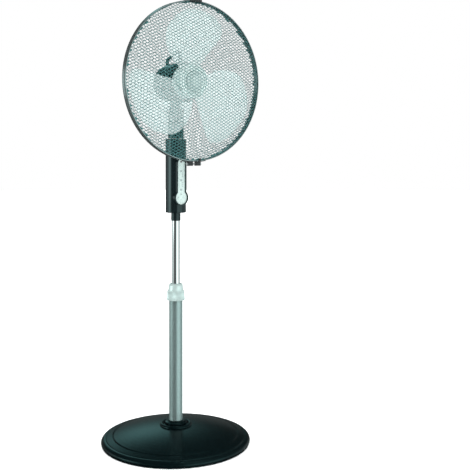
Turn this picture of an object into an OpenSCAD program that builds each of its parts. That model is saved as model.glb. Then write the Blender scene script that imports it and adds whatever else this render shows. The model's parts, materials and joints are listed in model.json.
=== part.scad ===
// Pedestal fan with a round weighted base, a telescopic mast, a control column,
// a tilting and swivelling head, and a three-blade rotor inside a mesh cage.
// The origin is on the floor under the mast, and the fan blows towards -Y.

/* [Base] */
// Diameter of the round base
base_d = 400; // [380:1:420]
// Height of the base at the foot of the tube
base_h = 49; // [46:1:52]
// Thickness of the cast ballast disc
weight_t = 6; // [5:0.5:7]

/* [Mast] */
// Outer diameter of the lower tube
lower_d = 36.5; // [36:0.1:37]
// Outer diameter of the upper tube
upper_d = 22; // [21.6:0.1:22.4]
// Height of the clamping nut's lower edge above the floor
nut_z = 384; // [360:1:400]

/* [Control column] */
// Height of the column's lower end above the floor
column_z = 620; // [600:1:640]
// Outer diameter of the column
column_d = 55; // [54:0.5:57]
// Length of the column
column_h = 198; // [196:1:202]

/* [Head] */
// Height of the fan's axis above the floor
axis_z = 970; // [968:1:975]
// Outer diameter of the band around the cage
band_d = 421; // [416:1:424]
// Width of the band, front to back
band_w = 17.2; // [16.6:0.1:20]
// Distance from the mast's axis to the band's front edge
band_front = 95; // [94:0.5:98]
// How far the front guard bulges beyond the band
dome_h = 32; // [26:1:38]
// Diameter swept by the blades
blade_d = 380; // [360:1:382]

/* [Hidden] */
$fn = 96;
sliver = 0.01;
fit = 0.05;
gap = 0.3;

base_r = base_d / 2;
shell_t = 2.6;
lip_r = 12;
lip_z = 8;
lip_in = base_r - lip_r;
dome_r = 0.84 * base_r;
dome_edge_z = 24;
hub_in = 24;
foot_r = 9;
foot_h = 4;
foot_pcd = 2 * (base_r - 15);
foot_count = 6;
weight_z = 10;
weight_r = 150;
weight_top = weight_z + weight_t;
weight_pcd = 200;
boss_r = 6;
socket_r = 23.5;

lower_r = lower_d / 2;
lower_wall = 1.25;
lower_bore = lower_r - lower_wall;
lower_bottom = weight_top + 4;
lower_top = nut_z + 16;
plug_top = lower_bottom + 30;

upper_r = upper_d / 2;
upper_wall = 1;
upper_bottom = nut_z - 144;
upper_top = column_z + 30;
guide_h = 30;

nut_step = nut_z + 26;
nut_top = nut_z + 44;
sleeve_r = 20.3;

column_r = column_d / 2;
column_wall = 2.2;
column_top = column_z + column_h;
roof_t = 4;
collar_z = column_z - 22;
collar_r = 12.8;
panel_z = column_z + 41;
panel_r = 18.2;
strip_r = 12;
strip_z = panel_z + 93;
bezel_edge = 3;
bezel_front = column_r + 2;
insert_front = column_r - 1.5;
insert_t = 2;
post_x = 20.5;
post_seat = 9;
board_front = 16;
button_r = 3.8;
button_out = insert_front + 0.8;
button_pcr = 8.6;
led_x = -3.5;
led_z = [for (group = [0, 1], i = [0 : 2]) panel_z + 31 + 25 * group + 5 * i];

stem_r = 8;
gear_z = column_top - 18;
gear_t = 8;
gear_module = 1;
gear_teeth = 20;
pinion_teeth = 10;
gear_distance = gear_module * (gear_teeth + pinion_teeth) / 2;
washer_t = 1.2;
neck_z = column_top + washer_t + gap;
neck_r = 21;
pivot_z = axis_z - 77;
pivot_r = 4;
ear_r = 11;
ear_in = 10;
ear_out = 18;
lug_half = 9.5;

band_r = band_d / 2;
band_t = 1.6;
band_back = band_front - band_w;
rim_r = band_r - band_t - sliver;
rim_w = 3.6;
mesh_t = 0.8;
bowl_front = 41;
guard_hole = 30;
hook_l = 34;
lug_in = 5;
lug_out = 19;
lug_w = 9;
plate_x = 33;
screw_drop = band_r + 6.5;

motor_front = bowl_front;
motor_split = 8;
motor_r = 54;
motor_tail = -72;
motor_wall = 2.4;

shaft_r = 4;
hub_front = 89;
hub_back = 51;
hub_r = 45;
blade_r = blade_d / 2;
blade_root = hub_r - 1.2;
blade_t = 2;
spinner_h = 12;
pin_r = 1.25;
pin_f = hub_back + 6;

// ---- shared shapes ----

// Children are drawn along the fan's axis: their +Z points forwards, from the mast's axis.
module on_axis() {
    translate([0, 0, axis_z]) rotate([90, 0, 0]) children();
}

// Children are drawn in the panel's plane, X across and Y up, and their +Z points forwards.
module on_panel() {
    rotate([90, 0, 0]) children();
}

module ring(r_out, r_in, h) {
    difference() {
        cylinder(r = r_out, h = h);
        translate([0, 0, -1]) cylinder(r = r_in, h = h + 2);
    }
}

// Half outline of a disc between two heights, with its rim rounded by e.
function puck(r, low, high, e) = concat(
    [[0, low], [r - e, low]],
    [for (a = [-75 : 15 : -15]) [r - e + e * cos(a), low + e + e * sin(a)]],
    [[r, low + e], [r, high - e]],
    [for (a = [15 : 15 : 75]) [r - e + e * cos(a), high - e + e * sin(a)]],
    [[r - e, high], [0, high]]
);

module around(count, r, phase = 0) {
    for (i = [0 : count - 1]) rotate(phase + i * 360 / count) translate([r, 0, 0]) children();
}

module keyhole(grow = 0) {
    translate([0, panel_z]) circle(r = panel_r + grow);
    translate([-strip_r - grow, panel_z]) square([2 * (strip_r + grow), strip_z - panel_z]);
    translate([0, strip_z]) circle(r = strip_r + grow);
}

// A pan-head screw whose shank runs up from z = 0 and whose head hangs below it.
module screw(r, length) {
    cylinder(r = r, h = length, $fn = 24);
    difference() {
        translate([0, 0, -0.7 * 2 * r]) cylinder(r = 2 * r, h = 0.7 * 2 * r, $fn = 24);
        translate([-r, -0.2 * r, -2 * r]) cube([2 * r, 0.4 * r, r]);
        translate([-0.2 * r, -r, -2 * r]) cube([0.4 * r, 2 * r, r]);
    }
}

// ---- gears ----

function involute(a) = tan(a) * 180 / PI - a;
function flank_angle(r, pitch_r, teeth, angle, play) =
    let (base = pitch_r * cos(angle))
    90 / teeth - play / pitch_r * 90 / PI + involute(angle) - (r > base ? involute(acos(base / r)) : 0);

module gear(teeth, h, play = 0.3, angle = 25) {
    pitch_r = gear_module * teeth / 2;
    tip_r = pitch_r + 0.75 * gear_module;
    root_r = pitch_r - 1.15 * gear_module;
    radii = [for (i = [0 : 5]) root_r + (tip_r - root_r) * i / 5];
    linear_extrude(height = h) union() {
        circle(r = root_r + sliver, $fn = 64);
        for (k = [0 : teeth - 1]) rotate(k * 360 / teeth) polygon(concat(
            [[0, 0]],
            [for (r = radii) let (a = flank_angle(r, pitch_r, teeth, angle, play)) [r * cos(a), -r * sin(a)]],
            [for (i = [5 : -1 : 0]) let (r = radii[i], a = flank_angle(r, pitch_r, teeth, angle, play))
                [r * cos(a), r * sin(a)]]
        ));
    }
}

// ---- base ----

// Height of the domed top at radius r, from the groove inwards.
function dome_top(r) = base_h - (base_h - dome_edge_z) * pow(r / dome_r, 2);

// Outline of the base's upper surface, shrunk by t: rolled lip, step, sloping ring, groove and dome.
function base_outline(t) = concat(
    [[base_r - 2 - t, 1.5]],
    [for (a = [0 : 10 : 90]) [lip_in + (lip_r - t) * cos(a), lip_z + (10 - t) * sin(a)]],
    [[lip_in - 1.5, lip_z + 9 - t], [lip_in - 2.5, lip_z + 11 - t], [dome_r + 2, dome_edge_z - 0.5 - t],
     [dome_r, dome_edge_z - 2 - t]],
    [for (i = [0 : 12]) let (r = dome_r - 2 - i * (dome_r - 2 - hub_in) / 12) [r, dome_top(r) - t]]
);

module base_shell() {
    outer = base_outline(0);
    inner = base_outline(shell_t);
    color([0.07, 0.09, 0.09]) {
        rotate_extrude($fn = 180)
            polygon(concat(outer, [for (i = [len(inner) - 1 : -1 : 0]) inner[i]]));
        around(4, weight_pcd / 2, 45) difference() {
            translate([0, 0, weight_top]) cylinder(r = boss_r, h = dome_top(weight_pcd / 2) - weight_top - 2);
            translate([0, 0, weight_top - 1]) cylinder(r = 2, h = 12, $fn = 24);
        }
        around(foot_count, foot_pcd / 2)
            translate([0, 0, foot_h]) cylinder(r = foot_r + 1.5, h = lip_z + 7.4 - foot_h);
    }
}

module base_weight() {
    color([0.25, 0.25, 0.26]) difference() {
        translate([0, 0, weight_z]) cylinder(r = weight_r, h = weight_t);
        cylinder(r = 5.5, h = 60, $fn = 32);
        around(4, weight_pcd / 2, 45) cylinder(r = 2.4, h = 60, $fn = 24);
    }
}

module base_feet() {
    color([0.05, 0.05, 0.05]) around(foot_count, foot_pcd / 2) {
        cylinder(r1 = foot_r - 1, r2 = foot_r, h = 1);
        translate([0, 0, 1]) cylinder(r = foot_r, h = foot_h - 1);
    }
}

module hub_ring() {
    color([0.06, 0.07, 0.07]) rotate_extrude() difference() {
        translate([38, base_h - 0.5]) circle(r = 5, $fn = 40);
        polygon([[30, 0], [46, 0], [46, dome_top(46)], [42, dome_top(42)], [38, dome_top(38)],
                 [34, dome_top(34)], [30, dome_top(30)]]);
    }
}

module tube_socket() {
    color([0.05, 0.06, 0.06]) rotate_extrude() polygon([
        [5.6, weight_top], [36, weight_top], [36, weight_top + 4], [socket_r, weight_top + 6],
        [socket_r, base_h + 1], [29, base_h + 1], [29.5, base_h + 2], [29.5, base_h + 6],
        [28, base_h + 8], [23, base_h + 9.5], [21.5, base_h + 12.5], [lower_r, base_h + 12.5],
        [lower_r, lower_bottom], [5.6, lower_bottom]
    ]);
}

module lower_tube() {
    color([0.72, 0.76, 0.76])
        translate([0, 0, lower_bottom]) ring(lower_r, lower_bore, lower_top - lower_bottom);
}

module tube_plug() {
    color([0.6, 0.6, 0.6]) translate([0, 0, lower_bottom]) ring(lower_bore, 5, plug_top - lower_bottom);
}

module base_bolt() {
    color([0.75, 0.75, 0.75]) {
        translate([0, 0, weight_z - 2]) ring(12, 5, 2);
        translate([0, 0, weight_z - 7]) cylinder(r = 8.5, h = 5, $fn = 6);
        translate([0, 0, weight_z - 3]) cylinder(r = 5, h = 38, $fn = 32);
    }
}

module weight_screws() {
    color([0.75, 0.75, 0.75]) around(4, weight_pcd / 2, 45)
        translate([0, 0, weight_z]) screw(2, weight_t + 10);
}

// ---- height clamp ----

module threaded_sleeve() {
    color([0.85, 0.87, 0.87]) rotate_extrude() polygon([
        [lower_r, nut_z + 4], [sleeve_r - 1, nut_z + 4], [sleeve_r, nut_z + 5], [sleeve_r, nut_step - 4],
        [sleeve_r - 2.5, nut_step - 2], [15.5, nut_step - 2], [13, nut_step - 6], [13, lower_top],
        [lower_r, lower_top]
    ]);
}

module collet() {
    color([0.9, 0.9, 0.9]) difference() {
        rotate_extrude() polygon([
            [upper_r + fit, nut_step - 6], [13, nut_step - 6], [14.8, nut_step - 3.12],
            [14.8, nut_step + 4], [13, nut_top - 6], [upper_r + fit, nut_top - 6]
        ]);
        for (a = [0, 60, 120]) rotate(a) translate([-20, -0.75, nut_step + 1]) cube([40, 1.5, 30]);
    }
}

module height_nut() {
    inner = sleeve_r + gap;
    color([0.86, 0.89, 0.89]) {
        rotate_extrude() polygon([
            [inner, nut_z], [24, nut_z], [24.3, nut_z + 1], [22.6, nut_step - 1], [22, nut_step],
            [20.6, nut_step], [20.4, nut_step + 1], [18.9, nut_top - 5], [18, nut_top - 2],
            [16.2, nut_top], [upper_r + 0.6, nut_top], [upper_r + 0.6, nut_top - 3],
            [13.4, nut_top - 5.6], [15.2, nut_step + 4], [17, nut_step], [inner, nut_step - 3]
        ]);
        for (i = [0 : 39]) rotate(i * 9) translate([23.6, 0, nut_z + 1.5]) rotate([0, -3.9, 0])
            translate([-1, -0.5, 0]) cube([1.7, 1, nut_step - nut_z - 4]);
    }
}

// ---- mast ----

module upper_tube() {
    color([0.8, 0.82, 0.83])
        translate([0, 0, upper_bottom]) ring(upper_r, upper_r - upper_wall, upper_top - upper_bottom);
}

module mast_guide() {
    color([0.2, 0.2, 0.2]) rotate_extrude() polygon([
        [upper_r, upper_bottom], [lower_bore - gap - 1, upper_bottom], [lower_bore - gap, upper_bottom + 1],
        [lower_bore - gap, upper_bottom + guide_h - 1], [lower_bore - gap - 1, upper_bottom + guide_h],
        [upper_r, upper_bottom + guide_h]
    ]);
}

module neck_collar() {
    color([0.06, 0.07, 0.07]) rotate_extrude() polygon([
        [upper_r, collar_z], [collar_r - 0.6, collar_z], [collar_r, collar_z + 0.6],
        [collar_r, column_z], [upper_r, column_z]
    ]);
}

// ---- control column ----

// Children are drawn at the four screw posts of the column, and their +Z points backwards.
module at_posts() {
    for (z = [column_z + 8, column_top - 8], s = [-1, 1])
        translate([s * post_x, 0, z]) rotate([-90, 0, 0]) children();
}

module column_body() {
    difference() {
        union() {
            difference() {
                rotate_extrude($fn = 128) polygon(puck(column_r, column_z, column_top, 1.5));
                translate([0, 0, column_z + 4])
                    cylinder(r = column_r - column_wall, h = column_h - 4 - roof_t);
            }
            translate([0, 0, column_z + 3]) cylinder(r = upper_r + 3, h = 27);
            intersection() {
                translate([0, 0, column_z]) cylinder(r = column_r - 1, h = column_h);
                at_posts() translate([0, 0, -9]) cylinder(r = 4.2, h = 40, $fn = 32);
            }
        }
        translate([0, 0, column_z - 1]) cylinder(r = upper_r, h = 60);
        translate([0, 0, column_top - 10]) cylinder(r = stem_r + 0.08, h = 20);
        at_posts() translate([0, 0, -5]) cylinder(r = 1.5, h = 45, $fn = 24);
    }
}

module column_front() {
    color([0.03, 0.04, 0.04]) difference() {
        column_body();
        translate([-50, 0, 0]) cube([100, 60, axis_z]);
        on_panel() linear_extrude(height = 40) keyhole(bezel_edge);
    }
}

module column_rear() {
    color([0.03, 0.04, 0.04]) difference() {
        column_body();
        translate([-50, -60, 0]) cube([100, 60, axis_z]);
        translate([0, 0, column_z + 18]) rotate([-90, 0, 0]) cylinder(r = 4.5, h = 60, $fn = 32);
        at_posts() translate([0, 0, post_seat]) cylinder(r = 3.1, h = 31, $fn = 24);
    }
}

module column_screws() {
    color([0.3, 0.3, 0.3]) at_posts() translate([0, 0, post_seat]) mirror([0, 0, 1]) screw(1.5, 12.5);
}

module panel_bezel() {
    color([0.02, 0.02, 0.02]) difference() {
        on_panel() difference() {
            linear_extrude(height = bezel_front) keyhole(bezel_edge);
            linear_extrude(height = bezel_front + 1) keyhole(0);
        }
        translate([-50, -13, 0]) cube([100, 60, axis_z]);
    }
}

module panel_insert() {
    color([0.88, 0.92, 0.91]) on_panel() translate([0, 0, insert_front - insert_t])
        linear_extrude(height = insert_t) difference() {
            keyhole(0);
            for (a = [0 : 90 : 270])
                translate([button_pcr * cos(a), panel_z + button_pcr * sin(a)]) circle(r = button_r + gap);
            for (z = led_z) translate([led_x, z]) circle(r = 1.15, $fn = 24);
            translate([0, strip_z + 3]) circle(r = 2.5, $fn = 32);
        }
}

module led_lenses() {
    color([0.85, 0.9, 0.6]) on_panel() for (z = led_z) translate([led_x, z, board_front])
        cylinder(r = 1.1, h = insert_front + 0.3 - board_front, $fn = 24);
}

module ir_window() {
    color([0.15, 0.05, 0.07]) on_panel() translate([0, strip_z + 3, board_front])
        cylinder(r = 2.45, h = insert_front + 0.4 - board_front, $fn = 32);
}

module control_board() {
    color([0.1, 0.35, 0.2]) translate([-11, -board_front, panel_z - 13]) cube([22, 1.6, 112]);
}

module button_switches() {
    color([0.15, 0.15, 0.15]) on_panel() for (a = [0 : 90 : 270])
        translate([button_pcr * cos(a), panel_z + button_pcr * sin(a), board_front]) {
            translate([-2.2, -2.2, 0]) cube([4.4, 4.4, 2]);
            cylinder(r = 1.2, h = 3, $fn = 24);
        }
}

module run_capacitor() {
    color([0.85, 0.85, 0.8]) translate([-16, 6.5, column_z + 90]) cube([32, 13, 26]);
}

module swing_motor() {
    color([0.7, 0.7, 0.72]) {
        translate([0, gear_distance - 8, gear_z - 22]) difference() {
            cylinder(r = 14, h = 20);
            translate([-30, -20, -1]) cube([60, 12.5, 22]);
        }
        translate([0, gear_distance, gear_z - 3]) cylinder(r = 2.5, h = gear_t + 2.5, $fn = 32);
    }
}

module swivel_washer() {
    color([0.9, 0.9, 0.88]) translate([0, 0, column_top]) ring(19, stem_r + gap, washer_t);
}

module cord_gland() {
    color([0.05, 0.05, 0.05]) translate([0, 0, column_z + 18]) rotate([-90, 0, 0]) rotate_extrude($fn = 48)
        polygon([[3, column_r - 5], [6.5, column_r - 5], [6.5, column_r - 4], [4.5, column_r - 3],
                 [4.5, column_r], [7, column_r + 0.4], [7, column_r + 2], [5.5, column_r + 6],
                 [4.6, column_r + 12], [3, column_r + 12]]);
}

module button(angle, tint) {
    color(tint) on_panel() translate([button_pcr * cos(angle), panel_z + button_pcr * sin(angle), 0])
        rotate_extrude($fn = 48) polygon([
            [0, board_front + 4.1], [1.6, board_front + 4.1], [1.6, insert_front - insert_t - gap - 1],
            [button_r + 0.7, insert_front - insert_t - gap - 1], [button_r + 0.7, insert_front - insert_t - gap],
            [button_r, insert_front - insert_t - gap], [button_r, button_out - 0.4],
            [button_r - 0.4, button_out], [0, button_out]
        ]);
}

module button_power() button(90, [0.75, 0.8, 0.8]);
module button_speed() button(180, [0.82, 0.86, 0.86]);
module button_swing() button(270, [0.82, 0.86, 0.86]);
module button_timer() button(0, [0.82, 0.86, 0.86]);

// ---- swivel ----

module swivel_neck() {
    color([0.04, 0.05, 0.05]) difference() {
        union() {
            difference() {
                translate([0, 0, gear_z - 1]) cylinder(r = stem_r, h = neck_z - gear_z + 2);
                translate([0, 0, gear_z - 2]) ring(stem_r + 1, stem_r - 1.2, gear_t + 2);
                translate([0, 0, column_top - roof_t - 1.6]) ring(stem_r + 1, stem_r - 1.2, 1.2);
            }
            rotate_extrude() polygon(puck(neck_r, neck_z, pivot_z - 15, 2));
            for (s = [-1, 1]) translate([s * (ear_in + ear_out) / 2, 0, 0])
                rotate([90, 0, 90]) translate([0, 0, -(ear_out - ear_in) / 2]) {
                    translate([0, pivot_z]) cylinder(r = ear_r, h = ear_out - ear_in);
                    translate([-ear_r, pivot_z - 16]) cube([2 * ear_r, 16, ear_out - ear_in]);
                }
        }
        translate([0, 0, gear_z - 3]) cylinder(r = 4.5, h = pivot_z - gear_z + 4, $fn = 32);
        translate([-30, 0, pivot_z]) rotate([0, 90, 0]) cylinder(r = pivot_r, h = 60);
    }
}

module swivel_gear() {
    color([0.9, 0.9, 0.85]) translate([0, 0, gear_z]) difference() {
        gear(gear_teeth, gear_t);
        translate([0, 0, -1]) cylinder(r = stem_r - 1.2, h = gear_t + 2);
    }
}

module retaining_ring() {
    color([0.7, 0.7, 0.7]) translate([0, 0, column_top - roof_t - 1.6]) difference() {
        ring(11, stem_r - 1.2, 1.2);
        translate([0, -2.5, -1]) cube([20, 5, 4]);
    }
}

module tilt_bolt() {
    color([0.7, 0.7, 0.7]) translate([-ear_out, 0, pivot_z]) rotate([0, 90, 0]) {
        cylinder(r = pivot_r, h = 2 * ear_out + 7, $fn = 48);
        translate([0, 0, -4.5]) cylinder(r = 7, h = 4.5, $fn = 48);
    }
}

module tilt_nut() {
    color([0.65, 0.65, 0.65]) translate([ear_out, 0, pivot_z]) rotate([0, 90, 0]) difference() {
        cylinder(r = 7.5, h = 5, $fn = 6);
        translate([0, 0, -1]) cylinder(r = pivot_r, h = 7, $fn = 48);
    }
}

module swing_pinion() {
    color([0.9, 0.88, 0.8]) translate([0, gear_distance, gear_z]) difference() {
        gear(pinion_teeth, gear_t);
        translate([0, 0, -1]) cylinder(r = 2.5 + fit, h = gear_t + 2, $fn = 32);
    }
}

// ---- motor ----

// Half outline of the motor's casing about the fan's axis, shrunk by t: a flat front and a rounded tail.
function casing(t) = concat(
    [[motor_r - 3 - t, motor_front - t], [motor_r - t, motor_front - 3 - t]],
    [for (a = [0 : 9 : 90]) [(motor_r - 2.5 - t) * pow(cos(a), 0.8), (motor_tail + t) * pow(sin(a), 0.8)]],
    [[0, motor_front - t]]
);

module casing_solid(t = 0) {
    on_axis() rotate_extrude($fn = 120) polygon(casing(t));
}

module motor_cover_front() {
    color([0.04, 0.05, 0.05]) difference() {
        casing_solid(0);
        casing_solid(motor_wall);
        translate([-99, -motor_split, axis_z - 99]) cube([198, 198, 198]);
        on_axis() cylinder(r = shaft_r + 2, h = 60);
        on_axis() around(16, 40) translate([-6, -1.5, motor_front - 8]) cube([12, 3, 20]);
    }
    color([0.04, 0.05, 0.05]) on_axis() translate([0, 0, motor_front]) ring(guard_hole - gap, 24, 8);
}

module motor_cover_rear() {
    color([0.03, 0.04, 0.04]) difference() {
        casing_solid(0);
        casing_solid(motor_wall);
        translate([-99, -motor_split - 198, axis_z - 99]) cube([198, 198, 198]);
        on_axis() around(18, 28) translate([-8, -1.5, motor_tail - 4]) cube([16, 3, 20]);
    }
}

module motor_bracket() {
    color([0.05, 0.06, 0.06]) difference() {
        translate([-lug_half, 0, 0]) rotate([90, 0, 90]) {
            translate([0, pivot_z]) cylinder(r = ear_r, h = 2 * lug_half);
            translate([-ear_r, pivot_z]) cube([2 * ear_r, 40, 2 * lug_half]);
        }
        casing_solid(0);
        translate([-30, 0, pivot_z]) rotate([0, 90, 0]) cylinder(r = pivot_r + 0.08, h = 60);
    }
}

module carry_handle() {
    color([0.04, 0.05, 0.05]) difference() {
        translate([-4.5, 0, 0]) rotate([90, 0, 90]) linear_extrude(height = 9) difference() {
            polygon([[-23, axis_z + 45], [-23, axis_z + 83], [-18, axis_z + 88], [40, axis_z + 70],
                     [45, axis_z + 65], [45, axis_z + 30]]);
            polygon([[-17, axis_z + 40], [-17, axis_z + 79], [-15, axis_z + 81], [37, axis_z + 65],
                     [39, axis_z + 62], [39, axis_z + 25]]);
        }
        casing_solid(0);
    }
}

module stator_core() {
    color([0.5, 0.5, 0.52]) on_axis() translate([0, 0, -10]) difference() {
        cylinder(r = 46, h = 30);
        translate([0, 0, -1]) cylinder(r = 23, h = 32);
        around(16, 27) translate([-2.5, -2.2, -1]) cube([12, 4.4, 32]);
    }
}

module stator_winding() {
    color([0.72, 0.36, 0.14]) on_axis() for (z = [-20, 20.5]) translate([0, 0, z]) rotate_extrude($fn = 64)
        translate([32, 4.7]) circle(r = 4.6, $fn = 24);
}

module bearing(z, wide) {
    color([0.7, 0.55, 0.3]) on_axis() translate([0, 0, z]) {
        ring(9, shaft_r + fit, 10);
        ring(wide, 9 - sliver, 2);
    }
}

module bearing_front() bearing(motor_front - motor_wall - 12, 24);
module bearing_rear() bearing(-44, 30);

// ---- cage ----

// Forward position of the front guard at radius r.
function dome_f(r) = band_front + dome_h * (1 - pow(r / rim_r, 2)) - 3;

// Forward position of the rear guard at radius r: flat in the middle, steep towards the rim.
function bowl_f(r) = bowl_front + (band_back + 3 - bowl_front) * pow(max(0, (r - 62) / (rim_r - 62)), 8);

module front_guard() {
    steps = 12;
    rim_in = rim_r - rim_w;
    radii = [for (i = [0 : steps]) rim_in * i / steps];
    color([0.8, 0.84, 0.83, 0.4]) on_axis() rotate_extrude($fn = 120) polygon(concat(
        [for (r = radii) [r, dome_f(r)]],
        [[rim_in, band_front - 0.6], [rim_r, band_front - 0.6], [rim_r, band_front - 8],
         [rim_in, band_front - 8]],
        [for (i = [steps : -1 : 0]) [radii[i], dome_f(radii[i]) - mesh_t]]
    ));
}

module rear_guard() {
    steps = 10;
    rim_in = rim_r - rim_w;
    radii = [for (i = [0 : steps]) guard_hole + (rim_in - guard_hole) * pow(i / steps, 0.6)];
    color([0.75, 0.8, 0.79, 0.4]) on_axis() rotate_extrude($fn = 120) polygon(concat(
        [for (r = radii) [r, bowl_f(r)]],
        [[rim_in, band_back + 0.6], [rim_r, band_back + 0.6], [rim_r, band_back + 8], [rim_in, band_back + 8]],
        [for (i = [steps : -1 : 0]) [radii[i], bowl_f(radii[i]) + mesh_t]]
    ));
}

module guard_nut() {
    color([0.1, 0.12, 0.12]) on_axis() translate([0, 0, bowl_front + mesh_t]) difference() {
        union() {
            cylinder(r = 48, h = 3);
            cylinder(r = 38, h = 7);
            around(8, 41) translate([-6, -2, 0]) cube([12, 4, 6]);
        }
        translate([0, 0, -1]) cylinder(r = guard_hole, h = 10);
    }
}

module rim_band() {
    color([0.35, 0.38, 0.38]) difference() {
        on_axis() rotate_extrude($fn = 180) polygon([
            [band_r - 3.6, band_back], [band_r - 0.8, band_back], [band_r, band_back + 1],
            [band_r, band_front - 1], [band_r - 0.8, band_front], [band_r - 3.6, band_front],
            [band_r - 3.6, band_front - 0.55], [rim_r, band_front - 0.55],
            [rim_r, band_back + 0.55], [band_r - 3.6, band_back + 0.55]
        ]);
        translate([-lug_in, -band_front - 5, axis_z - band_r - 20])
            cube([2 * lug_in, band_w + 10, 40]);
    }
}

// Two clamp lugs under the band's open ends, each on a plate that follows the band.
module band_lugs() {
    color([0.05, 0.06, 0.06]) difference() {
        on_axis() for (s = [-1, 1]) {
            translate([0, 0, band_front - 5 - lug_w]) linear_extrude(height = lug_w)
                polygon([[s * lug_in, 3 - band_r], [s * lug_out, 3 - band_r], [s * lug_out, -screw_drop - 5],
                         [s * lug_in, -screw_drop - 5]]);
            intersection() {
                translate([0, 0, band_back + 2]) cylinder(r = band_r + 1.8, h = band_w - 4, $fn = 180);
                translate([s > 0 ? lug_in : -plate_x, -band_r - 5, 0]) cube([plate_x - lug_in, 20, 200]);
            }
        }
        on_axis() cylinder(r = band_r, h = 200, $fn = 180);
        band_screw_axis() translate([0, 0, -60]) cylinder(r = 2, h = 120, $fn = 32);
    }
}

// Children are drawn along the clamp screw's axis, whose +Z points to the right.
module band_screw_axis() {
    translate([0, lug_w / 2 + 5 - band_front, axis_z - screw_drop]) rotate([0, 90, 0]) children();
}

module band_screw() {
    color([0.78, 0.8, 0.8]) band_screw_axis() {
        translate([0, 0, -lug_out - 0.6]) cylinder(r = 2, h = 2 * lug_out + 5, $fn = 32);
        translate([0, 0, -lug_out - 3.2]) cylinder(r = 3.6, h = 2.6, $fn = 32);
        translate([0, 0, lug_out]) cylinder(r = 3.9, h = 3, $fn = 6);
    }
}

module top_hook() {
    z = axis_z + band_r;
    color([0.07, 0.08, 0.08]) difference() {
        translate([-18, -band_front - 3, z - 12]) cube([36, hook_l, 15]);
        on_axis() cylinder(r = band_r, h = 200, $fn = 180);
        translate([-30, hook_l - band_front - 6, z - 20]) cube([60, 20, 19]);
    }
    color([0.07, 0.08, 0.08]) translate([-18, -band_front - 3, z - 4]) cube([36, 2.4, 6]);
}

module guard_clip() {
    z = axis_z - band_r;
    color([0.06, 0.06, 0.06]) translate([10, -band_front - 2.4, z - 1]) difference() {
        cube([5, 2.4, 9]);
        translate([2.5, 4, 6.5]) rotate([90, 0, 0]) cylinder(r = 1.2, h = 8, $fn = 24);
    }
}

// ---- rotor ----

module motor_shaft() {
    color([0.8, 0.8, 0.8]) on_axis() difference() {
        translate([0, 0, -42]) cylinder(r = shaft_r, h = 42 + hub_front + 8);
        translate([0, -10, pin_f]) rotate([-90, 0, 0]) cylinder(r = pin_r, h = 20, $fn = 24);
    }
}

module rotor_core() {
    color([0.55, 0.55, 0.58]) on_axis() translate([0, 0, -12]) ring(22.4, shaft_r, 34);
}

// Angles of a blade's two edges, in degrees, at the share s of its length, how far its tip's corners are cut
// back at the share u of its width, and its forward position.
function edge_low(s) = 53 - 4 * s + 5 * pow(s, 9);
function edge_high(s) = 144 - 30 * s * s - 8 * pow(s, 9);
function edge_cut(s, u) = 12 * pow(s, 4) * pow(abs(2 * u - 1), 5);
function blade_f(s, u) =
    hub_back + 25 + 2.5 * s + (u - 0.5) * (26 - 2 * s) + 5 * sin(180 * u) * (1 - 0.5 * s);

module blade() {
    m = 9;
    n = 8;
    points = [for (side = [0, 1], i = [0 : m], j = [0 : n])
        let (s = i / m, u = j / n, r = blade_root + (blade_r - blade_root) * s - edge_cut(s, u),
             a = edge_low(s) + (edge_high(s) - edge_low(s)) * u)
        [r * cos(a), r * sin(a), blade_f(s, u) + (0.5 - side) * blade_t]];
    w = n + 1;
    top = (m + 1) * w;
    faces = concat(
        [for (i = [0 : m - 1], j = [0 : n - 1]) [i * w + j, i * w + j + 1, (i + 1) * w + j + 1, (i + 1) * w + j]],
        [for (i = [0 : m - 1], j = [0 : n - 1])
            [top + i * w + j, top + (i + 1) * w + j, top + (i + 1) * w + j + 1, top + i * w + j + 1]],
        [for (i = [0 : m - 1]) [i * w, (i + 1) * w, top + (i + 1) * w, top + i * w]],
        [for (i = [0 : m - 1]) [i * w + n, top + i * w + n, top + (i + 1) * w + n, (i + 1) * w + n]],
        [for (j = [0 : n - 1]) [j, top + j, top + j + 1, j + 1]],
        [for (j = [0 : n - 1]) [m * w + j, m * w + j + 1, top + m * w + j + 1, top + m * w + j]]
    );
    polyhedron(points = points, faces = faces, convexity = 6);
}

module fan_blade() {
    color([0.82, 0.9, 0.88, 0.6]) on_axis() {
        difference() {
            rotate_extrude() polygon([
                [shaft_r + sliver, hub_back], [9, hub_back], [9, hub_front - 4], [hub_r - 2.5, hub_front - 5],
                [hub_r - 2.5, hub_back], [hub_r, hub_back], [hub_r, hub_front - 2.5],
                [hub_r - 2.5, hub_front], [shaft_r + sliver, hub_front]
            ]);
            translate([0, -10, pin_f]) rotate([-90, 0, 0]) cylinder(r = pin_r, h = 20, $fn = 24);
            translate([-pin_r, -10, hub_back - 1]) cube([2 * pin_r, 20, pin_f - hub_back + 1]);
        }
        for (a = [0, 120, 240]) rotate(a) blade();
    }
}

module drive_pin() {
    color([0.7, 0.7, 0.7]) on_axis()
        translate([0, -8, pin_f]) rotate([-90, 0, 0]) cylinder(r = pin_r, h = 16, $fn = 24);
}

module spinner_nut() {
    color([0.86, 0.92, 0.9]) on_axis() difference() {
        rotate_extrude() polygon([
            [0, hub_front], [26, hub_front], [26, hub_front + 4], [24, hub_front + 6], [18, hub_front + 9],
            [16, hub_front + spinner_h - 1], [13, hub_front + spinner_h], [0, hub_front + spinner_h]
        ]);
        translate([0, 0, hub_front - 1]) cylinder(r = shaft_r, h = 9);
    }
}

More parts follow.
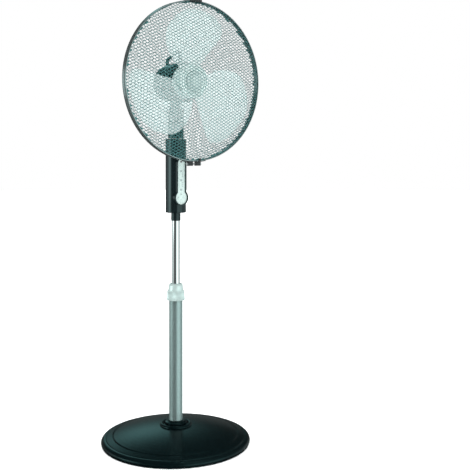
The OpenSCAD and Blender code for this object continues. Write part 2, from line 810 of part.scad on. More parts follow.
base_shell();
base_weight();
base_feet();
hub_ring();
tube_socket();
lower_tube();
tube_plug();
base_bolt();
weight_screws();
threaded_sleeve();
collet();
height_nut();
upper_tube();
mast_guide();
neck_collar();
column_front();
column_rear();
column_screws();
panel_bezel();
panel_insert();
led_lenses();
ir_window();
control_board();
button_switches();
run_capacitor();
swing_motor();
swivel_washer();
cord_gland();
button_power();
button_speed();
button_swing();
button_timer();
swivel_neck();
swivel_gear();
retaining_ring();
tilt_bolt();
tilt_nut();
swing_pinion();
motor_bracket();
motor_cover_front();
motor_cover_rear();
carry_handle();
stator_core();
stator_winding();
bearing_front();
bearing_rear();
rear_guard();
guard_nut();
front_guard();
rim_band();
band_lugs();
band_screw();
top_hook();
guard_clip();
motor_shaft();
rotor_core();
fan_blade();
drive_pin();
spinner_nut();
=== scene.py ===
import json
import math

import bmesh
import bpy
from mathutils import Matrix, Vector


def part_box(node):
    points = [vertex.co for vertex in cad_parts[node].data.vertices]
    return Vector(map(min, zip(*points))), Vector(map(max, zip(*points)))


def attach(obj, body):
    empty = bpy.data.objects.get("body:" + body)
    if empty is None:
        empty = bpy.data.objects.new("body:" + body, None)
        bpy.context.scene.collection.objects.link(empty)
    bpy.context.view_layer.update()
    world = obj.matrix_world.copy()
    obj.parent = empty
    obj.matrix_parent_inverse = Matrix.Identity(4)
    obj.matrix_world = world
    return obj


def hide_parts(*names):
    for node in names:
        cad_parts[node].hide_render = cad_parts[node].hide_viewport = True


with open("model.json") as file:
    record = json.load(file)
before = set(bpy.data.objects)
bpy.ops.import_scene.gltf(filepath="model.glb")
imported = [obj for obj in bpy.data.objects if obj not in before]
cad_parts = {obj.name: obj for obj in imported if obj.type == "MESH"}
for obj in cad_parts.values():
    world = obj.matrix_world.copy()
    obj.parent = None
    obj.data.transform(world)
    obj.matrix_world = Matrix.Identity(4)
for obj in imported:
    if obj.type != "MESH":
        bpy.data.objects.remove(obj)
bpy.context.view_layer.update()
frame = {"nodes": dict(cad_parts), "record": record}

scene = bpy.context.scene
MM = 0.001

# ---- places read from the frame ----

guard_low, guard_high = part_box("front_guard")
AXIS_Z = (guard_low.z + guard_high.z) / 2
RIM_R = (guard_high.z - guard_low.z) / 2
DOME_TOP = -guard_low.y
RIM_FRONT_BACK = -guard_high.y
rear_low, rear_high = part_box("rear_guard")
BOWL_FRONT = -rear_high.y
RIM_REAR_FRONT = -rear_low.y
band_low, band_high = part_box("rim_band")
BAND_FRONT = -band_low.y
BAND_BACK = -band_high.y
BAND_R = band_high.z - AXIS_Z
nut_low, nut_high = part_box("height_nut")
handle_low, handle_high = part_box("carry_handle")
panel_low, panel_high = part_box("panel_insert")
hub_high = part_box("fan_blade")[1]
BLADE_R = hub_high.z - AXIS_Z
HUB_BACK = -hub_high.y
spinner_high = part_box("spinner_nut")[1]
HUB_FRONT = -spinner_high.y
SPINNER_R = spinner_high.x


def on_axis(x, up, forward):
    """A point given from the fan's axis: across, up, and forward of the mast."""
    return Vector((x, -forward, AXIS_Z + up))


def polar(radius, angle, forward):
    """A point at a radius and an angle in degrees round the fan's axis, from +X towards up."""
    a = math.radians(angle)
    return on_axis(radius * math.cos(a), radius * math.sin(a), forward)


# ---- mesh helpers ----

def mesh_object(name, verts, faces, sharp=35.0):
    """A new mesh object with outward normals, smooth but for edges sharper than so many degrees."""
    data = bpy.data.meshes.new(name)
    data.from_pydata([tuple(v) for v in verts], [], faces)
    work = bmesh.new()
    work.from_mesh(data)
    bmesh.ops.remove_doubles(work, verts=work.verts, dist=1e-7)
    bmesh.ops.recalc_face_normals(work, faces=work.faces)
    work.to_mesh(data)
    work.free()
    data.shade_smooth()
    data.set_sharp_from_angle(angle=math.radians(sharp))
    obj = bpy.data.objects.new(name, data)
    scene.collection.objects.link(obj)
    return obj


def rounded(corners, steps=5):
    """A closed outline of (x, y, radius) corners, each rounded off over about that radius."""
    points = []
    for i, (x, y, radius) in enumerate(corners):
        here = Vector((x, y))
        back = Vector(corners[i - 1][:2]) - here
        ahead = Vector(corners[(i + 1) % len(corners)][:2]) - here
        if radius == 0:
            points.append(here)
            continue
        reach = min(radius / math.tan(back.angle(ahead) / 2), back.length * 0.49, ahead.length * 0.49)
        start, end = here + back.normalized() * reach, here + ahead.normalized() * reach
        for k in range(steps + 1):
            t = k / steps
            points.append((1 - t) ** 2 * start + 2 * t * (1 - t) * here + t ** 2 * end)
    return points


def loft(loops, closed=True):
    """Faces between loops of equally many points. closed joins the last loop to the first."""
    verts = [point for loop in loops for point in loop]
    n = len(loops[0])
    faces = []
    for i in range(len(loops) if closed else len(loops) - 1):
        j = (i + 1) % len(loops)
        for k in range(n):
            m = (k + 1) % n
            faces.append((i * n + k, i * n + m, j * n + m, j * n + k))
    return verts, faces


def lathe(outline, segments, about_fan=False, shape=None):
    """Turns a closed outline of (radius, height) points round the mast, or round the fan's axis.
    shape(radius, height, angle) may change the radius as it goes round."""
    loops = []
    for radius, height in outline:
        loop = []
        for k in range(segments):
            angle = 2 * math.pi * k / segments
            r = shape(radius, height, angle) if shape else radius
            x, y = r * math.cos(angle), r * math.sin(angle)
            loop.append(on_axis(x, y, height) if about_fan else Vector((x, y, height)))
        loops.append(loop)
    return loft(loops)


def capped(loops):
    """A tube through open loops, with its two ends closed."""
    verts, faces = loft(loops, closed=False)
    n = len(loops[0])
    return verts, faces + [tuple(range(n)), tuple(range(len(verts) - n, len(verts)))]


def joined(*parts):
    """Several (verts, faces) as one."""
    verts, faces = [], []
    for part_verts, part_faces in parts:
        start = len(verts)
        verts += part_verts
        faces += [tuple(start + i for i in face) for face in part_faces]
    return verts, faces


def place(obj, body, slot, *nodes, finish=None):
    """Gives a piece its material slot, the body that it rides on, and the CAD nodes that it stands for.
    finish names the material where it isn't the slot's own."""
    obj.data.materials.append(MATERIALS[finish or slot])
    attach(obj, body)
    if nodes:
        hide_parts(*nodes)


# ---- materials ----

MATERIALS = {}


def shader(name, **sockets):
    """A new material. Returns it with its node tree and its Principled shader, whose sockets are set
    by name."""
    mat = bpy.data.materials.new(name)
    mat.use_nodes = True
    bsdf = mat.node_tree.nodes["Principled BSDF"]
    for socket, value in sockets.items():
        bsdf.inputs[socket.replace("_", " ")].default_value = value
    return mat, mat.node_tree, bsdf


def noise(tree, scale, detail=2.0, stretch=(1, 1, 1)):
    """A noise pattern of that many waves a metre, in the object's own coordinates."""
    where = tree.nodes.new("ShaderNodeTexCoord")
    mapping = tree.nodes.new("ShaderNodeMapping")
    mapping.inputs["Scale"].default_value = stretch
    texture = tree.nodes.new("ShaderNodeTexNoise")
    texture.inputs["Scale"].default_value = scale
    texture.inputs["Detail"].default_value = detail
    tree.links.new(where.outputs["Object"], mapping.inputs["Vector"])
    tree.links.new(mapping.outputs["Vector"], texture.inputs["Vector"])
    return texture.outputs["Fac"]


def vary_colour(tree, bsdf, pattern, dark, light):
    """The base colour goes from dark to light with the pattern."""
    ramp = tree.nodes.new("ShaderNodeValToRGB")
    ramp.color_ramp.elements[0].position, ramp.color_ramp.elements[1].position = 0.3, 0.7
    ramp.color_ramp.elements[0].color, ramp.color_ramp.elements[1].color = (*dark, 1), (*light, 1)
    tree.links.new(pattern, ramp.inputs["Fac"])
    tree.links.new(ramp.outputs["Color"], bsdf.inputs["Base Color"])


def vary_roughness(tree, bsdf, pattern, low, high):
    """The roughness goes from low to high with the pattern."""
    span = tree.nodes.new("ShaderNodeMapRange")
    span.inputs["From Min"].default_value, span.inputs["From Max"].default_value = 0.3, 0.7
    span.inputs["To Min"].default_value, span.inputs["To Max"].default_value = low, high
    tree.links.new(pattern, span.inputs["Value"])
    tree.links.new(span.outputs["Result"], bsdf.inputs["Roughness"])


def add_bump(tree, bsdf, pattern, height):
    """The pattern stands up to so many metres proud."""
    bump = tree.nodes.new("ShaderNodeBump")
    bump.inputs["Distance"].default_value = height
    tree.links.new(pattern, bump.inputs["Height"])
    tree.links.new(bump.outputs["Normal"], bsdf.inputs["Normal"])


def new_finish(name, colour, spread, roughness, grain, height, stretch=(1, 1, 1), **sockets):
    """Adds a material whose colour, roughness and fine relief all vary: colour by a share spread, roughness
    between two values, and relief of so many waves a metre and so many metres high."""
    mat, tree, bsdf = shader(name, **sockets)
    broad = noise(tree, grain / 12, 3.0, stretch)
    fine = noise(tree, grain, 2.0, stretch)
    dark = [c * (1 - spread) for c in colour]
    light = [min(1, c * (1 + spread)) for c in colour]
    vary_colour(tree, bsdf, broad, dark, light)
    vary_roughness(tree, bsdf, fine, *roughness)
    add_bump(tree, bsdf, fine, height)
    MATERIALS[name] = mat


UPRIGHT = (1, 1, 0.04)
new_finish("base_plastic", (0.0008, 0.003, 0.0036), 0.12, (0.2, 0.3), 1400, 0.00004,
           Specular_Tint=(0.5, 1.0, 1.0, 1), Specular_IOR_Level=0.35)
new_finish("gloss_black", (0.003, 0.006, 0.007), 0.2, (0.07, 0.13), 260, 0.00001,
           Specular_Tint=(0.75, 1.0, 1.0, 1))
new_finish("black_plastic", (0.012, 0.016, 0.017), 0.15, (0.4, 0.55), 1200, 0.00006)
new_finish("cast_iron", (0.05, 0.05, 0.052), 0.3, (0.6, 0.85), 500, 0.0003, Metallic=0.6)
new_finish("rubber", (0.012, 0.012, 0.012), 0.2, (0.7, 0.9), 900, 0.00008)
new_finish("silver_paint", (0.36, 0.48, 0.47), 0.05, (0.34, 0.44), 2400, 0.00001, Metallic=0.85)
new_finish("silver_plastic", (0.50, 0.62, 0.60), 0.03, (0.28, 0.38), 1600, 0.00002, Metallic=0.5)
new_finish("chrome", (0.80, 0.84, 0.84), 0.02, (0.03, 0.08), 1800, 0.000001, UPRIGHT, Metallic=1.0)
new_finish("zinc_steel", (0.6, 0.62, 0.62), 0.08, (0.25, 0.4), 900, 0.00002, Metallic=1.0)
new_finish("motor_steel", (0.3, 0.3, 0.32), 0.1, (0.35, 0.5), 900, 0.00003, (1, 20, 1), Metallic=1.0)
new_finish("copper", (0.72, 0.30, 0.12), 0.15, (0.3, 0.45), 1500, 0.0001, (1, 12, 1), Metallic=1.0)
new_finish("bronze", (0.55, 0.38, 0.18), 0.12, (0.35, 0.5), 1200, 0.00003, Metallic=1.0)
new_finish("white_nylon", (0.82, 0.82, 0.78), 0.04, (0.4, 0.5), 700, 0.00003)
new_finish("panel_silver", (0.47, 0.58, 0.555), 0.03, (0.28, 0.38), 2200, 0.00001, Metallic=0.1)
new_finish("lens_clear", (0.55, 0.66, 0.60), 0.05, (0.12, 0.2), 600, 0.00001)
new_finish("lens_dark", (0.04, 0.01, 0.015), 0.1, (0.08, 0.12), 600, 0.00001)
new_finish("circuit_board", (0.02, 0.12, 0.05), 0.2, (0.3, 0.5), 700, 0.00004)
new_finish("guard_mesh", (0.07, 0.20, 0.20), 0.08, (0.3, 0.42), 900, 0.00003, Metallic=0.5)
new_finish("band_metal", (0.30, 0.37, 0.37), 0.06, (0.14, 0.2), 1500, 0.00001, Metallic=0.9)
new_finish("blade_clear", (0.91, 0.99, 0.98), 0.015, (0.1, 0.16), 500, 0.00001,
           Transmission_Weight=0.6, IOR=1.1)
new_finish("hub_milky", (0.74, 0.88, 0.86), 0.02, (0.12, 0.18), 500, 0.00001,
           Transmission_Weight=0.3, IOR=1.3)
# Opaque pale finish for the hub's rings: a painted highlight standing in for light caught on their edges; the
# real rings are clear plastic like the hub.
new_finish("painted_edge_highlight", (0.90, 0.97, 0.96), 0.02, (0.3, 0.4), 500, 0.00001)
new_finish("printed_grey", (0.16, 0.20, 0.20), 0.1, (0.45, 0.55), 1500, 0.000005)

for row in frame["record"]["subparts"]:
    node = frame["nodes"][row["node"]]
    node.data.materials.clear()
    node.data.materials.append(MATERIALS[row["material_slot"]])

# ---- guards of expanded mesh ----

PITCH_ACROSS = 16 * MM
PITCH_UP = 8.25 * MM
BOND = 1.4 * MM
FRONT_STRAND = 1.15 * MM
REAR_STRAND = 0.7 * MM
LEAN = 0.5 * MM
MESH_T = 0.6 * MM
REAR_TURN = -14.0
MESH_R = RIM_R - 1.2 * MM
GUARD_HOLE = 30.5 * MM
DOME_DROP = 32 * MM
BOWL_FLAT_R = 62 * MM
RIM_W = 2 * MM
RIM_DEPTH = 4.5 * MM


def dome(radius):
    """Forward place of the front guard at a radius."""
    return DOME_TOP - DOME_DROP * (radius / RIM_R) ** 2


def bowl(radius):
    """Forward place of the rear guard at a radius: flat in the middle, steep at the rim."""
    share = max(0, (radius - BOWL_FLAT_R) / (RIM_R - BOWL_FLAT_R))
    return BOWL_FRONT + (RIM_REAR_FRONT - 5 * MM - BOWL_FRONT) * share ** 8


def along(surface, limit, steps=240):
    """Pairs of (length along the pressed sheet, radius) out to a radius, for a surface of revolution."""
    pairs, length = [(0.0, 0.0)], 0.0
    for i in range(steps):
        inner, outer = limit * i / steps, limit * (i + 1) / steps
        length += math.hypot(outer - inner, surface(outer) - surface(inner))
        pairs.append((length, outer))
    return pairs


def radius_at(pairs, length):
    """The radius that a length along the sheet reaches."""
    for (l0, r0), (l1, r1) in zip(pairs, pairs[1:]):
        if length <= l1:
            return r0 + (r1 - r0) * (length - l0) / (l1 - l0)
    return pairs[-1][1]


def inset(loop, margin):
    """A convex loop moved inwards by a margin, or None where too little is left."""
    lines = []
    for a, b in zip(loop, loop[1:] + loop[:1]):
        edge = b - a
        if edge.length < 1e-6:
            return None
        inward = Vector((-edge.y, edge.x)).normalized()
        lines.append((a + inward * margin, edge.normalized()))
    result = []
    for (p, d), (q, e) in zip(lines[-1:] + lines[:-1], lines):
        cross = d.x * e.y - d.y * e.x
        if cross < 0.02:
            return None
        result.append(p + d * (((q - p).x * e.y - (q - p).y * e.x) / cross))
    for (a, b), (p, d) in zip(zip(result, result[1:] + result[:1]), lines):
        if (b - a).dot(d) <= 0:
            return None
    return result


def expanded_mesh(surface, hole, limit, turn, strand):
    """Verts and faces of expanded mesh between two radii: hexagonal cells whose strands are what is left
    when each cell is moved inwards. The sheet is flat before it is pressed on the surface, and its strands
    lean, as slitting and stretching leave them."""
    pairs = along(surface, limit)
    sheet_r = pairs[-1][0]
    verts, faces, shared = [], [], {}
    spin = Matrix.Rotation(math.radians(turn), 2)

    def add(point, key=None, lean=0.0):
        if key in shared:
            return shared[key]
        flat = point.length
        r = radius_at(pairs, min(flat, sheet_r))
        out = spin @ (point.normalized() * r if flat > 1e-9 else point)
        verts.append(on_axis(out.x, out.y, surface(r) + lean))
        if key is not None:
            shared[key] = len(verts) - 1
        return len(verts) - 1

    half = (PITCH_ACROSS - BOND) / 2
    cell = [Vector(p) for p in ((half, 0), (BOND / 2, PITCH_UP / 2), (-BOND / 2, PITCH_UP / 2),
                                (-half, 0), (-BOND / 2, -PITCH_UP / 2), (BOND / 2, -PITCH_UP / 2))]
    rows = int(sheet_r / PITCH_UP * 2) + 2
    columns = int(sheet_r / PITCH_ACROSS) + 2
    for j in range(-rows, rows + 1):
        for i in range(-columns, columns + 1):
            centre = Vector(((i + (j % 2) / 2) * PITCH_ACROSS, j * PITCH_UP / 2))
            loop = [centre + p for p in cell]
            lengths = [p.length for p in loop]
            if min(lengths) > sheet_r - 1 * MM or max(lengths) < hole:
                continue
            clipped = []
            for p in loop:
                reach = min(max(p.length, hole), sheet_r)
                clipped.append(p.normalized() * reach if p.length > 1e-9 else p)
            inner = inset(clipped, strand / 2)
            keys = [(round(p.x * 1e6), round(p.y * 1e6)) for p in clipped]
            outer_ids = [add(p, key) for p, key in zip(clipped, keys)]
            if inner is None:
                unique = list(dict.fromkeys(outer_ids))
                if len(unique) > 2:
                    faces.append(tuple(unique))
                continue
            inner_ids = [add(p, lean=LEAN * (p.y - centre.y) / (PITCH_UP / 2)) for p in inner]
            for k in range(6):
                m = (k + 1) % 6
                faces.append((outer_ids[k], outer_ids[m], inner_ids[m], inner_ids[k]))
    return verts, faces


def rim_outline(back):
    """Outline of a guard's rolled rim, which starts that far forward."""
    r, front, round_off = RIM_R - 0.1 * MM, back + RIM_DEPTH, 0.8 * MM
    return rounded([(r - RIM_W, back, round_off), (r, back, round_off), (r, front, round_off),
                    (r - RIM_W, front, round_off)])


def guard(name, surface, hole, turn, strand, rim_back, node):
    """One guard: the pressed mesh, thickened, with a rolled rim that the band grips."""
    verts, faces = expanded_mesh(surface, hole, MESH_R, turn, strand)
    net = mesh_object(name, verts, faces, 50)
    thick = net.modifiers.new("thickness", "SOLIDIFY")
    thick.thickness = MESH_T
    thick.offset = 0
    place(net, "head", "guard_mesh", node)
    ring = mesh_object(name + "_rim", *lathe(rim_outline(rim_back), 180, True))
    place(ring, "head", "guard_mesh", finish="band_metal")


guard("front_mesh", dome, 0.0, 0.0, FRONT_STRAND, RIM_FRONT_BACK, "front_guard")
guard("rear_mesh", bowl, GUARD_HOLE, REAR_TURN, REAR_STRAND, RIM_REAR_FRONT - RIM_DEPTH, "rear_guard")

# ---- blades and hub ----

HUB_R = 45 * MM
HUB_BORE = 4.05 * MM
BLADE_CORNER = 12 * MM


def blade_edge_low(s):
    """Angle of a blade's rear edge at the share s of its length."""
    return 53 - 4 * s + 5 * s ** 9


def blade_edge_high(s):
    """Angle of a blade's front edge at the share s of its length."""
    return 144 - 30 * s * s - 8 * s ** 9


def blade_forward(s, u):
    """Forward place of a blade at the share s of its length and u of the way from rear to front edge."""
    pitch = (u - 0.5) * (26 - 2 * s)
    camber = 5 * math.sin(math.pi * u) * (1 - 0.5 * s)
    return HUB_BACK + (25 + 2.5 * s + pitch + camber) * MM


def blade_part(turn, along_steps=30, across_steps=24):
    """One blade: two cambered faces that meet in rounded edges."""
    root = HUB_R - 1.2 * MM
    verts, faces = [], []
    n = across_steps + 1
    for side in (1, -1):
        for i in range(along_steps + 1):
            s = i / along_steps
            for j in range(n):
                u = j / across_steps
                edge = abs(2 * u - 1)
                radius = root + (BLADE_R - root) * s - BLADE_CORNER * s ** 4 * edge ** 5
                angle = blade_edge_low(s) + (blade_edge_high(s) - blade_edge_low(s)) * u
                body = (1 - edge ** 12) ** 0.5 * (1 - s ** 24) ** 0.5
                half = (1.5 - 0.7 * s) * MM * body
                verts.append(polar(radius, angle + turn, blade_forward(s, u) + side * half))
    back = (along_steps + 1) * n
    for i in range(along_steps):
        for j in range(across_steps):
            a, b, c, d = i * n + j, i * n + j + 1, (i + 1) * n + j + 1, (i + 1) * n + j
            faces += [(a, b, c, d), (back + d, back + c, back + b, back + a)]
        for j in (0, across_steps):
            faces.append((i * n + j, (i + 1) * n + j, back + (i + 1) * n + j, back + i * n + j))
    for i in (0, along_steps):
        for j in range(across_steps):
            faces.append((i * n + j, i * n + j + 1, back + i * n + j + 1, back + i * n + j))
    return verts, faces


def hub_outline():
    """The hub: a cup with a raised ring round its face and another inside it, and a core for the shaft."""
    front, ring, low = HUB_FRONT, 1.6 * MM, HUB_FRONT - 2.2 * MM
    face = [(HUB_R - 2.6 * MM, front, ring / 3), (HUB_R - 3.4 * MM, low, 0.5 * MM)]
    for radius in (37 * MM, 30 * MM):
        face += [(radius, low, 0.5 * MM), (radius - 0.5 * MM, front, ring / 3),
                 (radius - ring, front, ring / 3), (radius - ring - 0.5 * MM, low, 0.5 * MM)]
    return rounded([
        (HUB_BORE, HUB_BACK, 0), (9 * MM, HUB_BACK, 0.5 * MM), (9 * MM, front - 5.5 * MM, 1 * MM),
        (HUB_R - 2.4 * MM, front - 6.5 * MM, 2 * MM), (HUB_R - 2.4 * MM, HUB_BACK, 0.5 * MM),
        (HUB_R, HUB_BACK, 0.8 * MM), (HUB_R, front - 3 * MM, 2 * MM)] + face + [
        (SPINNER_R + 1 * MM, low, 0), (SPINNER_R - 2 * MM, front, 0), (HUB_BORE, front, 0)], 3)


blades = joined(*[blade_part(turn) for turn in (0, 120, 240)])
place(mesh_object("blades", *blades), "rotor", "blade_clear", "fan_blade")
place(mesh_object("hub", *lathe(hub_outline(), 120, True)), "rotor", "blade_clear", finish="hub_milky")


def hub_rings():
    """Raised rings on the hub's face: three rings that stand a little proud of it, in an opaque pale finish
    that is a painted highlight of their lit edges, not a frosting of the plastic.
    """
    half, back, front = 0.7 * MM, HUB_FRONT - 1 * MM, HUB_FRONT + 0.5 * MM
    rings = []
    for radius in (42 * MM, 36 * MM, 29 * MM):
        outline = rounded([(radius - half, back, 0), (radius - half, front, 0.2 * MM),
                           (radius + half, front, 0.2 * MM), (radius + half, back, 0)], 3)
        rings.append(lathe(outline, 120, True))
    place(mesh_object("hub_rings", *joined(*rings)), "rotor", "blade_clear", finish="painted_edge_highlight")


hub_rings()


def spinner():
    """The nut in front of the hub: a stepped cap with fine rings and a dished face."""
    f, r = HUB_FRONT, SPINNER_R
    outline = rounded([
        (0, f, 0), (r, f, 0.3 * MM), (r, f + 3.6 * MM, 1.2 * MM), (r - 1.6 * MM, f + 5.4 * MM, 0.8 * MM),
        (r - 5 * MM, f + 6.4 * MM, 0.3 * MM), (r - 5.6 * MM, f + 5.6 * MM, 0.3 * MM),
        (r - 7 * MM, f + 5.6 * MM, 0.3 * MM), (r - 7.8 * MM, f + 7 * MM, 0.6 * MM),
        (r - 9.2 * MM, f + 11.4 * MM, 1 * MM), (r - 12 * MM, f + 12 * MM, 0.6 * MM),
        (r - 13.4 * MM, f + 10.9 * MM, 0.5 * MM), (0, f + 10.4 * MM, 0)])
    place(mesh_object("spinner", *lathe(outline, 96, True)), "rotor", "blade_clear", "spinner_nut",
          finish="hub_milky")


spinner()

# ---- band round the cage ----

BAND_GAP = 5 * MM


def clamp_band():
    """The band: a rolled channel with a bead along each edge, open where its lugs are."""
    r, bead = BAND_R, 2.6 * MM
    half = [(r - 2.2 * MM, 0, 0.2 * MM), (r, 0, 1.1 * MM), (r, bead, 0.6 * MM),
            (r - 0.8 * MM, bead + 0.5 * MM, 0.5 * MM)]
    inside = [(r - 1.6 * MM, 0.5 * MM, 0), (r - 2.2 * MM, 0.5 * MM, 0)]
    outline = rounded([(x, BAND_BACK + y, e) for x, y, e in half]
                      + [(x, BAND_FRONT - y, e) for x, y, e in half[::-1]]
                      + [(x, BAND_FRONT - y, e) for x, y, e in inside[::-1]]
                      + [(x, BAND_BACK + y, e) for x, y, e in inside], 3)
    gap = math.degrees(BAND_GAP / r)
    steps = 240
    angles = [gap - 90 + (360 - 2 * gap) * k / steps for k in range(steps + 1)]
    loops = [[polar(x, angle, f) for x, f in outline] for angle in angles]
    place(mesh_object("clamp_band", *capped(loops)), "head", "band_metal", "rim_band")


clamp_band()

# ---- carrying handle ----


def carrying_handle():
    """A bar of rounded section, bent over the motor, whose ends sink into the motor's housing."""
    width, thick = (handle_high.x - handle_low.x) / 2, 3 * MM
    front, back = -handle_low.y - thick, -handle_high.y + thick
    top = handle_high.z - AXIS_Z - thick
    foot = 36 * MM
    path = rounded([(front, foot, 0), (front, top, 9 * MM), (back, top - 0.31 * (front - back), 7 * MM),
                    (back, foot, 0)], 8)
    section = rounded([(-width, -thick, 2 * MM), (width, -thick, 2 * MM), (width, thick, 2 * MM),
                       (-width, thick, 2 * MM)], 4)
    loops = []
    for i, here in enumerate(path):
        ahead = path[min(i + 1, len(path) - 1)] - path[max(i - 1, 0)]
        out = Vector((-ahead.y, ahead.x)).normalized()
        loops.append([on_axis(x, here.y + out.y * t, here.x + out.x * t) for x, t in section])
    place(mesh_object("handle_bar", *capped(loops), 50), "head", "gloss_black", "carry_handle")


carrying_handle()

# ---- clamping nut on the mast ----


def clamping_nut():
    """The height clamp: a skirt with fine upright ribs, a step, and a cone that closes on the tube."""
    z, top = nut_low.z, nut_high.z
    step = z + 26 * MM
    ribs, rib_h = 40, 0.5 * MM
    low, high = z + 2.4 * MM, step - 3.5 * MM

    def ribbed(radius, height, angle):
        if radius < 22 * MM or not low - MM < height < high + MM:
            return radius
        return radius + rib_h * math.cos(ribs * angle)

    skirt = [(24.2 * MM, z, 0.8 * MM), (24.4 * MM, z + 1.6 * MM, 0.3 * MM), (23.8 * MM, low, 0),
             (22.7 * MM, high, 0), (23.1 * MM, high + 0.9 * MM, 0.3 * MM), (22.6 * MM, step, 1.2 * MM)]
    cone = [(20.5 * MM, step, 0.5 * MM), (20.4 * MM, step + 1.5 * MM, 0.5 * MM),
            (18.9 * MM, top - 5 * MM, 2 * MM), (17.8 * MM, top - 1.6 * MM, 1.2 * MM),
            (16 * MM, top, 0.8 * MM), (11.7 * MM, top, 0.4 * MM)]
    inside = [(11.7 * MM, top - 3 * MM, 0), (20.7 * MM, step - 3 * MM, 0), (20.7 * MM, z, 0)]
    nut = mesh_object("clamp_nut", *lathe(rounded(skirt + cone + inside, 4), ribs * 6, shape=ribbed))
    place(nut, "height_nut", "silver_plastic", "height_nut")


clamping_nut()

# ---- printed marks on the control panel ----

PANEL_FRONT = -panel_low.y
PANEL_R = panel_high.x
PANEL_Z = panel_low.z + PANEL_R


def printed(marks, depth):
    """Flat printed marks, each (x, up, width, height) in millimetres, with round ends. up is from the centre
    of the panel's round end."""
    parts = []
    for x, up, width, height in marks:
        w, h = width / 2, height / 2
        outline = rounded([(x - w, up - h, h), (x + w, up - h, h), (x + w, up + h, h), (x - w, up + h, h)], 4)
        loops = []
        for proud in (-0.05, 0.06):
            y = -depth - proud * MM
            loops.append([Vector((p.x * MM, y, PANEL_Z + p.y * MM)) for p in outline])
        parts.append(capped(loops))
    return joined(*parts)


def panel_marks():
    """Plain signs in place of the legends: three signs of two strokes, and a stroke beside each light."""
    marks = []
    for up in (21.5, 46.5, 71):
        marks += [(0, up + 1.3, 8, 1.6), (0, up - 1.3, 5.6, 1.6)]
    marks += [(4.2, 31 + 25 * group + 5 * i, 4, 1.5) for group in (0, 1) for i in range(3)]
    place(mesh_object("panel_marks", *printed(marks, PANEL_FRONT)), "mast", "panel_silver",
          finish="printed_grey")


panel_marks()

BUTTON_STROKES = {
    "power": [(0, 0, 4, 1.3), (0, 1.6, 1.3, 2)],
    "speed": [(0, 0.9, 3, 0.9), (0, -0.9, 3, 0.9)],
    "swing": [(-1.2, 0, 1.6, 1.1), (1.2, 0, 1.6, 1.1)],
    "timer": [(0, 0, 2.6, 1)],
}
for name, strokes in BUTTON_STROKES.items():
    low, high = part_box("button_" + name)
    across, up = (low.x + high.x) / 2 / MM, ((low.z + high.z) / 2 - PANEL_Z) / MM
    moved = [(across + x, up + z, width, height) for x, z, width, height in strokes]
    place(mesh_object("mark_" + name, *printed(moved, -low.y)), "button_" + name, "panel_silver",
          finish="printed_grey")

# ---- floor, light and camera ----

VIEW_AZIMUTH = -37.0
VIEW_DEPTH = 2.3535
VIEW_RIGHT = 0.1599
VIEW_HEIGHT = 0.815
VIEW_LENS = 66.7
VIEW_SHIFT = -0.2017
FLOOR_R = 12.0
FLOOR_SIDES = 72
SUN_STRENGTH = 1.4
SUN_SPREAD = 70
SUN_LEAN_BACK = 12
SUN_LEAN_LEFT = -10


def heading(azimuth):
    """The level direction from the fan towards a place at that azimuth; 0 is in front of the fan."""
    a = math.radians(azimuth)
    return Vector((math.sin(a), -math.cos(a), 0))


camera = bpy.data.objects.new("camera", bpy.data.cameras.new("camera"))
camera.data.lens = VIEW_LENS
camera.data.shift_y = VIEW_SHIFT
camera.location = (heading(VIEW_AZIMUTH) * VIEW_DEPTH + heading(VIEW_AZIMUTH + 90) * VIEW_RIGHT
                   + Vector((0, 0, VIEW_HEIGHT)))
camera.rotation_euler = (math.radians(90), 0, math.radians(VIEW_AZIMUTH))
scene.collection.objects.link(camera)
scene.camera = camera

floor_angles = [2 * math.pi * k / FLOOR_SIDES for k in range(FLOOR_SIDES)]
floor_edge = [Vector((FLOOR_R * math.cos(a), FLOOR_R * math.sin(a), 0)) for a in floor_angles]
floor = mesh_object("floor", floor_edge, [tuple(range(FLOOR_SIDES))])
new_finish("floor", (0.86, 0.88, 0.88), 0.01, (0.6, 0.7), 60, 0.0001)
floor.data.materials.append(MATERIALS["floor"])
floor.visible_glossy = False

# The studio that the fan mirrors: panels of light, each given by its level at azimuths, and by its share at
# heights, where a height is the sine of the elevation.
PANELS = [
    ([(-180, 0.15), (-160, 0.15), (-92, 0.15), (-84, 0.05), (-24, 0.04), (-13, 1.4), (36, 1.4), (46, 0.55),
      (100, 0.45), (120, 0.12), (160, 0.1), (180, 0.2)],
     [(-1, 0.1), (-0.46, 0.15), (-0.34, 1), (0.14, 1), (0.24, 0.15), (0.7, 0.2), (1, 0.4)]),
    ([(-180, 0), (-154, 0), (-146, 0.75), (-108, 0.75), (-98, 0.1), (180, 0)],
     [(-1, 0), (-0.2, 0), (-0.15, 1), (0.14, 1), (0.24, 0), (1, 0)]),
    ([(-180, 0), (-126, 0), (-116, 2.6), (-92, 2.6), (-86, 0), (180, 0)],
     [(-1, 0), (-0.12, 0), (-0.06, 1), (0.12, 1), (0.2, 0), (1, 0)]),
]
PANEL_TINT = (0.9, 1, 0.99)
FILL_LIGHT = 0.9
SOFTBOX_AZIMUTH = 156
SOFTBOX_ELEVATION = 26
SOFTBOX_TIGHT = 60
SOFTBOX_LEVEL = 1.1
SOFTBOX_TINT = (0.5, 1, 1)

world = bpy.data.worlds.new("studio")
scene.world = world
world.use_nodes = True
world.cycles.sampling_method = "NONE"
tree = world.node_tree
tree.nodes.clear()


def number(operation, first, second=None):
    """A math node of two inputs, each a socket or a number. Returns its result."""
    node = tree.nodes.new("ShaderNodeMath")
    node.operation = operation
    for socket, given in zip(node.inputs, (first, second)):
        if isinstance(given, bpy.types.NodeSocket):
            tree.links.new(given, socket)
        elif given is not None:
            socket.default_value = given
    return node.outputs["Value"]


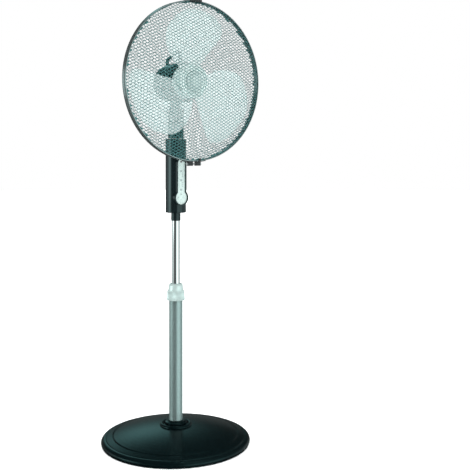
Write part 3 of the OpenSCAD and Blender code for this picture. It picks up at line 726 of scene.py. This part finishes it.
def level_ramp(value, pairs):
    """The level at a value, in straight lines between pairs of value and level."""
    low, high = pairs[0][0], pairs[-1][0]
    peak = max(level for _, level in pairs)
    ramp = tree.nodes.new("ShaderNodeValToRGB")
    while len(ramp.color_ramp.elements) < len(pairs):
        ramp.color_ramp.elements.new(1.0)
    for element, (where, level) in zip(ramp.color_ramp.elements, pairs):
        element.position = (where - low) / (high - low)
        element.color = (*[level / peak] * 3, 1)
    tree.links.new(number("DIVIDE", number("SUBTRACT", value, low), high - low), ramp.inputs["Fac"])
    return number("MULTIPLY", ramp.outputs["Color"], peak)


def glow(level, tint):
    """A background of one tint, as bright as a level says."""
    light = tree.nodes.new("ShaderNodeBackground")
    light.inputs["Color"].default_value = (*tint, 1)
    if isinstance(level, bpy.types.NodeSocket):
        tree.links.new(level, light.inputs["Strength"])
    return light.outputs["Background"]


def both(first, second, share=None):
    """Two shaders added, or mixed by a share."""
    node = tree.nodes.new("ShaderNodeMixShader" if share else "ShaderNodeAddShader")
    if share:
        tree.links.new(share, node.inputs[0])
    tree.links.new(first, node.inputs[-2])
    tree.links.new(second, node.inputs[-1])
    return node.outputs["Shader"]


way = tree.nodes.new("ShaderNodeTexCoord").outputs["Generated"]
split = tree.nodes.new("ShaderNodeSeparateXYZ")
tree.links.new(way, split.inputs["Vector"])
ahead = number("MULTIPLY", split.outputs["Y"], -1)
azimuth = number("MULTIPLY", number("ARCTAN2", split.outputs["X"], ahead), 180 / math.pi)

tilt = math.radians(SOFTBOX_ELEVATION)
facing = tree.nodes.new("ShaderNodeVectorMath")
facing.operation = "DOT_PRODUCT"
facing.inputs[1].default_value = heading(SOFTBOX_AZIMUTH) * math.cos(tilt) + Vector((0, 0, math.sin(tilt)))
tree.links.new(way, facing.inputs[0])
softbox = number("POWER", number("MAXIMUM", facing.outputs["Value"], 0), SOFTBOX_TIGHT)
mirrored = glow(number("MULTIPLY", softbox, SOFTBOX_LEVEL), SOFTBOX_TINT)
for azimuths, heights in PANELS:
    level = number("MULTIPLY", level_ramp(azimuth, azimuths), level_ramp(split.outputs["Z"], heights))
    mirrored = both(mirrored, glow(level, PANEL_TINT))
ray = tree.nodes.new("ShaderNodeLightPath")
# Reflected rays see the studio. Every other ray sees white, which is brighter where it only lights a surface.
glossy_only = number("SUBTRACT", ray.outputs["Is Glossy Ray"], ray.outputs["Is Transmission Ray"])
reflected = number("MAXIMUM", glossy_only, 0)
backdrop = glow(number("ADD", number("MULTIPLY", ray.outputs["Is Diffuse Ray"], FILL_LIGHT), 1), (1, 1, 1))
out = tree.nodes.new("ShaderNodeOutputWorld")
tree.links.new(both(backdrop, mirrored, reflected), out.inputs["Surface"])

sun = bpy.data.objects.new("overhead", bpy.data.lights.new("overhead", "SUN"))
sun.data.energy = SUN_STRENGTH
sun.data.angle = math.radians(SUN_SPREAD)
sun.visible_glossy = False
sun.rotation_euler = (math.radians(SUN_LEAN_BACK), math.radians(SUN_LEAN_LEFT), 0)
scene.collection.objects.link(sun)

scene.view_settings.view_transform = "Standard"
